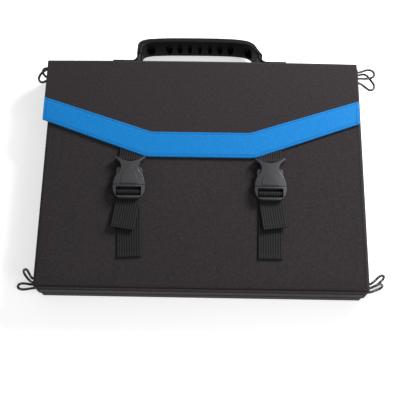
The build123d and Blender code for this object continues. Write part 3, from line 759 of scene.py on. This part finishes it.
# %% Flap and spine cloth
flap_mid = (flap_low[2] + flap_high[2]) / 2
flap_t = flap_high[2] - flap_low[2]
spine_mid = (spine_low[1] + spine_high[1]) / 2
spine_t = spine_high[1] - spine_low[1]
spine_from = 9.0
turn_end_y = 186.0
spine_pull = 1.8           # how far the handle draws the fold out, in the middle
# Each pair says where a change along the cloth starts, and over how many mm it takes place.
widen_z = (30, 15)         # from the spine's width to the flap's
thin_z = (40, 8)           # from the spine's thickness to the flap's
pull_z, pull_y = (22, 18), (188, 7)


def eased(value, start_and_run):
    """0 before the start, 1 after the run, even between them."""
    start, run = start_and_run
    return np.clip((value - start) / run, 0, 1)


fold_line = bent([(0, spine_mid, spine_from), (0, spine_mid, flap_mid),
                  (0, turn_end_y, flap_mid)], 3.2, 3.0)
fold_line = fold_line[:-len(edge_crowd)]
flap_wave = 0.1            # height of the flap's waves, which die out at its edges
flap_xs = crowded(flap_low[0], flap_high[0], 6.0)
flap_shares = np.concatenate([np.linspace(0, 1, 30)[:-1] * 0.985, [0.992, 0.997, 1.0]])
rows_of_cloth = []
row_thickness = []
for _, y, z in fold_line:
    on_flap = eased(z, widen_z)
    half = (spine_high[0] - spine_low[0]) / 2 * (1 - on_flap) + flap_half * on_flap
    middle = (spine_high[0] + spine_low[0]) / 2 * (1 - on_flap) + flap_middle_x * on_flap
    row_x = middle + (flap_xs - flap_middle_x) * half / flap_half
    pulled = spine_pull * eased(z, pull_z) * eased(y, pull_y)
    row_y = y + pulled * (1 - ((flap_xs - flap_middle_x) / flap_half) ** 2)
    rows_of_cloth.append(np.column_stack([row_x, row_y, np.full_like(row_x, z)]))
    row_thickness.append(spine_t + (flap_t - spine_t) * eased(z, thin_z))
for share in flap_shares:
    row_y = turn_end_y + (flap_edge(flap_xs) - turn_end_y) * share
    row_z = flap_mid + cloth_waves(flap_xs, row_y, flap_wave) * min(1, 6 * share * (1 - share))
    rows_of_cloth.append(np.column_stack([flap_xs, row_y, row_z]))
    row_thickness.append(flap_t)
flap_cloth = slab("flap_and_spine_cloth", rows_of_cloth, row_thickness, case_cloth)
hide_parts("flap_cover", "spine_cover")
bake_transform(flap_cloth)

# %% Blue band
stitch_in = 3.2
# Cross-sections: (in from a long edge, rise), and (below, out) where it wraps the flap's edge.
near_edge = [(0.0, 0.0), (0.35, 0.0), (1.1, 0.05), (2.2, 0.0), (stitch_in, -0.3), (4.2, 0.0),
             (6.0, 0.05)]
wrapped_edge = [(0.5, 0.45), (1.3, 0.6), (2.0, 0.6)]
band_t = band_high[2] - band_low[2]
band_mid = (band_low[2] + band_high[2]) / 2
band_rows = []
for inward, rise in near_edge:
    band_rows.append(np.column_stack([flap_xs, band_edge(flap_xs) - inward,
                                      np.full_like(flap_xs, band_mid + rise)]))
for share in np.linspace(0.2, 0.8, 6):
    row_y = band_edge(flap_xs) + (flap_edge(flap_xs) - band_edge(flap_xs)) * share
    row_z = band_mid + cloth_waves(flap_xs, row_y, flap_wave) * min(1, 6 * share * (1 - share))
    band_rows.append(np.column_stack([flap_xs, row_y, row_z]))
for inward, rise in near_edge[:0:-1]:
    band_rows.append(np.column_stack([flap_xs, flap_edge(flap_xs) + inward,
                                      np.full_like(flap_xs, band_mid + rise)]))
for below, outward in wrapped_edge:
    band_rows.append(np.column_stack([flap_xs, flap_edge(flap_xs) - outward,
                                      np.full_like(flap_xs, band_mid - below)]))
band = slab("flap_band_cloth", band_rows, band_t, band_cloth)
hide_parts("flap_band")
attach(band, "flap")
print("band area in cm2", round(band["area_mm2"] / 100, 1))

# %% [markdown]
# ## Folds between the panels
# Where one panel turns against the next, the cover cloth runs on across the gap. A panel's edge
# joins a gusset, and the gusset joins the next panel, so each gusset is two strips that meet in its
# middle, where both follow the gusset.

# %% Fold strips
gusset_low, gusset_high = node_box("front_gusset_cover")
gusset_half = (gusset_high[0] - gusset_low[0]) / 2
gusset_mid_y = (gusset_low[1] + gusset_high[1]) / 2
gusset_t = gusset_high[1] - gusset_low[1] - 0.3
tuck_y = -193.2
thicken_over = 6.0         # length in which a strip grows from thin to thick


def fold_strip(name, points, half_width, thin, thick, radius=2.2):
    """Cloth strip across a joint: thin where it tucks in, thick round a board or cable."""
    line = bent([(0.0, y, z) for y, z in points], radius, 1.5)
    far = distances(line)
    thickness = thin + (thick - thin) * np.clip(far / thicken_over, 0, 1)
    strip = ribbon(name, line, 2 * half_width, thickness, case_cloth, step=12.0)
    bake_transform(strip)
    return strip


for name, lower_panel, upper_panel in (("rear", "rear", "third"), ("front", "second", "front")):
    low, high = node_box(name + "_gusset_cover")
    middle_z = (low[2] + high[2]) / 2
    foot = fold_strip(
        name + "_gusset_lower_cloth",
        [(tuck_y, low[2] + 2.6), (gusset_mid_y, low[2] + 0.6), (gusset_mid_y, middle_z + 0.4)],
        gusset_half, 0.8, gusset_t)
    fold_strip(
        name + "_gusset_upper_cloth",
        [(tuck_y, high[2] - 2.6), (gusset_mid_y, high[2] - 0.6), (gusset_mid_y, middle_z - 0.4)],
        gusset_half, 0.8, gusset_t)
    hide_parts(name + "_gusset_cover")
fold_z = (node_box("third_cover")[1][2] + node_box("second_cover")[0][2]) / 2
fold_strip(
    "middle_fold_cloth",
    [(187.5, fold_z - 0.6), (194.9, fold_z), (187.5, fold_z + 0.6)],
    gusset_half, 0.5, 0.5,
    radius=1.0)
fold_strip(
    "spine_fold_cloth",
    [(189.0, 0.45), (spine_mid, 0.95), (spine_mid, spine_from + 0.6)],
    (spine_high[0] - spine_low[0]) / 2, 0.8, spine_t)
print("fold strips made")

# %% [markdown]
# ## Straps
# Two straps hang from the flap and carry the buckles' upper halves; two more are sewn to the
# front panel, pass up round the lower halves' bars and hang back as free tails with a hem.
# Webbing is too thin to simulate, so each strap is a ribbon along a bent line. The tails slant
# a few degrees, as loose webbing does.

# %% Straps
webbing_w = 38.0
webbing_t = 1.4
front_top = cover_high[2]
joint_y = -27.8            # where a buckle's two halves meet
wrap_slack = 0.1           # webbing off the bar that it turns round
bar_y, bar_z = joint_y - 11.0, front_top + 5.0
bar_half = 2.0
bar_turn = bar_half + wrap_slack + webbing_t / 2
ear_y, ear_z = joint_y + 43.5, front_top + 1.2 + 4.51
ear_half = 1.8
ear_turn = ear_half + wrap_slack + webbing_t / 2
base_level = front_top + webbing_t / 2 + 0.3
tail_lift = 3.2            # free end of a tail, above the strap it lies on
hem_len = 7.0
hem_step = 0.8             # length of the step up to a hem
hem_extra = 0.8            # thickness that a hem adds, in shares of the webbing's
strap_bend = 2.6
tail_level = base_level + webbing_t + 0.1
strap_ends = {
    # side: (buckle centre, sewn end, free end), x and y of each
    "left": (-118.0, (-112.5, -145.0), (-125.6, -100.5)),
    "right": (108.0, (107.0, -145.0), (114.7, -97.0)),
}
for side, (buckle_x, (base_x, base_y), (tail_x, tail_y)) in strap_ends.items():
    hanger_line = bent([
        (buckle_x, flap_low[1] + 22, flap_mid), (buckle_x, flap_low[1] + 3, flap_mid),
        (buckle_x, ear_y - ear_turn, ear_z - ear_turn),
        (buckle_x, ear_y - ear_turn, ear_z + ear_turn),
        (buckle_x, ear_y + ear_half, ear_z + ear_turn),
        (buckle_x, ear_y + 7.6, flap_mid + 2.3)], strap_bend, 2.5)
    hanger = ribbon("flap_webbing_" + side, hanger_line, webbing_w, webbing_t, webbing,
                    step=3.0)
    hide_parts("flap_strap_" + side)
    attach(hanger, "flap")
    strap_line = bent([
        (base_x, base_y, base_level), (buckle_x, bar_y - 5.4, base_level),
        (buckle_x, bar_y + bar_turn, bar_z - bar_turn),
        (buckle_x, bar_y + bar_turn, bar_z + bar_turn),
        (buckle_x, bar_y - 2.4, bar_z + bar_turn), (buckle_x, bar_y - 7.0, tail_level + 0.2),
        (buckle_x + (tail_x - buckle_x) * 0.5, (bar_y + tail_y) / 2 - 4, tail_level + 1.4),
        (tail_x, tail_y, tail_level + tail_lift)], strap_bend, 2.5)
    far = distances(strap_line)
    hemmed = (np.clip((far - far[-1] + hem_len) / hem_step, 0, 1)
              + np.clip((hem_len - far) / hem_step, 0, 1))
    strap = ribbon("front_webbing_" + side, strap_line, webbing_w,
                   webbing_t * (1 + hem_extra * hemmed), webbing, step=3.0)
    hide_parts("adjusting_strap_" + side)
    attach(strap, "front_panel")
    print(side, "strap lengths in mm", round(line_length(hanger_line)),
          round(line_length(strap_line)))

# %% [markdown]
# ## Handle straps
# A webbing strap runs through the rubber grip and is sewn flat to the spine at both ends. The
# part that shows is the sewn tab and the short bend up into the grip. It bends between the spine
# and the handle, because the handle tilts.

# %% Handle tabs
grip_low, grip_high = node_box("handle_grip")
pivot_y, pivot_z = 204.0, 33.2
droop = math.radians(20.0)
tab_w, tab_t, tab_swell = 29.0, 2.4, 4.2
swell_run = (38.0, 12.0)   # where the strap starts to fill out into the grip, and over how much


def in_grip(x, out):
    """Point in the grip's own plane, a distance out from its hinge line."""
    return (x, pivot_y + out * math.cos(droop), pivot_z - out * math.sin(droop))


for side, way, lean_in in (("left", 1, 4.0), ("right", -1, 6.5)):
    low, high = node_box("handle_tab_" + side)
    outer, inner = (low[0] + 0.4, high[0] - 3.0)
    if way == -1:
        outer, inner = (high[0] - 0.4, low[0] + 3.0)
    leg_x = grip_low[0] + lean_in if way == 1 else grip_high[0] - lean_in
    tab_y = low[1] + 1.4
    tab_line = bent([(outer, tab_y, pivot_z), (inner, tab_y, pivot_z),
                     (leg_x - way * 1.5, pivot_y + 3.5, pivot_z - 1.0),
                     in_grip(leg_x, 13.0)], 5.0, 2.5)
    thickness = tab_t + tab_swell * eased(distances(tab_line), swell_run)
    tab = ribbon("handle_webbing_" + side, tab_line, tab_w, thickness, rubber,
                 side=(0.0, 0.0, float(way)), step=3.0)
    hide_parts("handle_tab_" + side)
    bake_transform(tab)

# %% [markdown]
# ## Stitches
# Every seam shows a row of short stitches. Geometry Nodes lay them: a line of points becomes a
# curve, the curve is cut at the stitch pitch, and one small bead is laid along it at every cut.
# All the rows of one body become one mesh.

# %% Stitch tree
def stitch_tree():
    """Node group that lays a bead along every edge line at a pitch."""
    tree = bpy.data.node_groups.new("stitch_rows", "GeometryNodeTree")
    sockets = (("Geometry", "NodeSocketGeometry"), ("Pitch", "NodeSocketFloat"),
               ("Length", "NodeSocketFloat"), ("Thread", "NodeSocketFloat"),
               ("Finish", "NodeSocketMaterial"))
    for socket_name, kind in sockets:
        tree.interface.new_socket(socket_name, in_out="INPUT", socket_type=kind)
    tree.interface.new_socket("Geometry", in_out="OUTPUT", socket_type="NodeSocketGeometry")
    given = add_node(tree, "NodeGroupInput").outputs
    curve = add_node(tree, "GeometryNodeMeshToCurve", links={"Mesh": given["Geometry"]})
    cut = add_node(tree, "GeometryNodeResampleCurve", mode="LENGTH",
                   links={"Curve": curve.outputs[0], "Length": given["Pitch"]})
    bead = add_node(tree, "GeometryNodeMeshUVSphere", {"Segments": 6, "Rings": 4, "Radius": 0.5})
    size = add_node(tree, "ShaderNodeCombineXYZ",
                    links={"X": given["Length"], "Y": given["Thread"], "Z": given["Thread"]})
    shaped = add_node(tree, "GeometryNodeTransform",
                      links={"Geometry": bead.outputs["Mesh"], "Scale": size.outputs[0]})
    tangent = add_node(tree, "GeometryNodeInputTangent")
    turn = add_node(tree, "FunctionNodeAlignRotationToVector",
                    links={"Vector": tangent.outputs[0]}, axis="X")
    laid = add_node(tree, "GeometryNodeInstanceOnPoints", links={
        "Points": cut.outputs[0], "Instance": shaped.outputs[0], "Rotation": turn.outputs[0]})
    real = add_node(tree, "GeometryNodeRealizeInstances", links={"Geometry": laid.outputs[0]})
    dyed = add_node(tree, "GeometryNodeSetMaterial",
                    links={"Geometry": real.outputs[0], "Material": given["Finish"]})
    add_node(tree, "NodeGroupOutput", links={"Geometry": dyed.outputs[0]})
    return tree


stitch_rows = stitch_tree()


def stitches(name, rows_of_points, body, finish, pitch=4.2, length=3.0, thread=0.7):
    """Rows of stitches along lines of points in mm, as one mesh on one body."""
    points, edges = [], []
    for row in rows_of_points:
        edges += [(len(points) + i, len(points) + i + 1) for i in range(len(row) - 1)]
        points += [tuple(v * MM for v in p) for p in row]
    guide_mesh = bpy.data.meshes.new(name + "_guide")
    guide_mesh.from_pydata(points, edges, [])
    guide = bpy.data.objects.new(name + "_guide", guide_mesh)
    bpy.context.scene.collection.objects.link(guide)
    modifier = guide.modifiers.new("stitches", "NODES")
    modifier.node_group = stitch_rows
    given = {"Pitch": pitch * MM, "Length": length * MM, "Thread": thread * MM, "Finish": finish}
    for item in stitch_rows.interface.items_tree:
        if item.in_out == "INPUT" and item.name in given:
            modifier[item.identifier] = given[item.name]
    guide.data.update()
    graph = bpy.context.evaluated_depsgraph_get()
    graph.update()
    mesh = bpy.data.meshes.new_from_object(guide.evaluated_get(graph))
    mesh.name = name
    bpy.data.objects.remove(guide)
    if finish.name not in [m.name for m in mesh.materials if m]:
        mesh.materials.clear()
        mesh.materials.append(finish)
    piece = bpy.data.objects.new(name, mesh)
    bpy.context.scene.collection.objects.link(piece)
    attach(piece, body)
    print(name, "faces", len(mesh.polygons))
    return piece


# %% Seams of the panels
face_sunk, trim_sunk = 0.4, 0.05    # how deep the two rows of thread lie in the cloth


def closed_row(width, height, radius, depth):
    """A closed row of points round a rectangle, at one depth from the cloth side."""
    outline = rounded_outline(width, height, radius)
    closed = np.vstack([outline, outline[:1]])
    return np.column_stack([closed, np.full(len(closed), depth)])


for panel in cells_up:
    face_row = closed_row(panel_w - 2 * seam_in, panel_h - 2 * seam_in, 6.0, face_sunk)
    trim_row = closed_row(window_w + 8, window_h + 8, 8.0, cover_deep + binding_t - trim_sunk)
    rows_here = [placed(trim_row, panel)]
    if panel != "rear":
        rows_here.append(placed(face_row, panel))
    stitches(panel + "_seam_stitches", rows_here, panel + "_panel", thread_dark)


# %% Seams of the band and the straps
def along_band(line, shift):
    """Points on top of the band, along one of its long edges."""
    xs_here = np.linspace(flap_low[0] + 5, flap_high[0] - 5, 80)
    return np.column_stack([xs_here, line(xs_here) + shift,
                            np.full_like(xs_here, band_high[2] - 0.25)])


band_ends = []
for end_x in (flap_low[0] + 5, flap_high[0] - 5):
    end_x = np.array([end_x, end_x])
    end_y = np.array([band_edge(end_x)[0] - 3, flap_edge(end_x)[0] + 3])
    band_ends.append(np.column_stack([end_x, end_y, np.full(2, band_high[2])]))
band_sides = [along_band(band_edge, -stitch_in), along_band(flap_edge, stitch_in)]
stitches("band_stitches", band_sides + band_ends, "flap", thread_blue,
         length=3.4, thread=1.0)

strap_rows = []
base_rows = (3.5, 30.0)    # the two rows that sew a strap down, from its sewn end
hem_row = 5.5              # the row that holds a tail's hem, from its free end
for side, (buckle_x, (base_x, base_y), (tail_x, tail_y)) in strap_ends.items():
    half = webbing_w / 2 - 2
    base_z = base_level + webbing_t / 2
    for up_from_base in base_rows:
        strap_rows.append([(base_x - half, base_y + up_from_base, base_z),
                           (base_x + half, base_y + up_from_base, base_z)])
    lean = (tail_x - buckle_x) / (tail_y - bar_y)
    tail_z = tail_level + tail_lift + 0.1 + webbing_t / 2
    stitch_y = tail_y + hem_row
    strap_rows.append([(tail_x - half + hem_row * lean, stitch_y + half * lean, tail_z + 0.3),
                       (tail_x + half + hem_row * lean, stitch_y - half * lean, tail_z + 0.3)])
stitches("strap_stitches", strap_rows, "front_panel", thread_dark, pitch=3.0, length=2.2)

# %% Update the scene
bpy.context.view_layer.update()
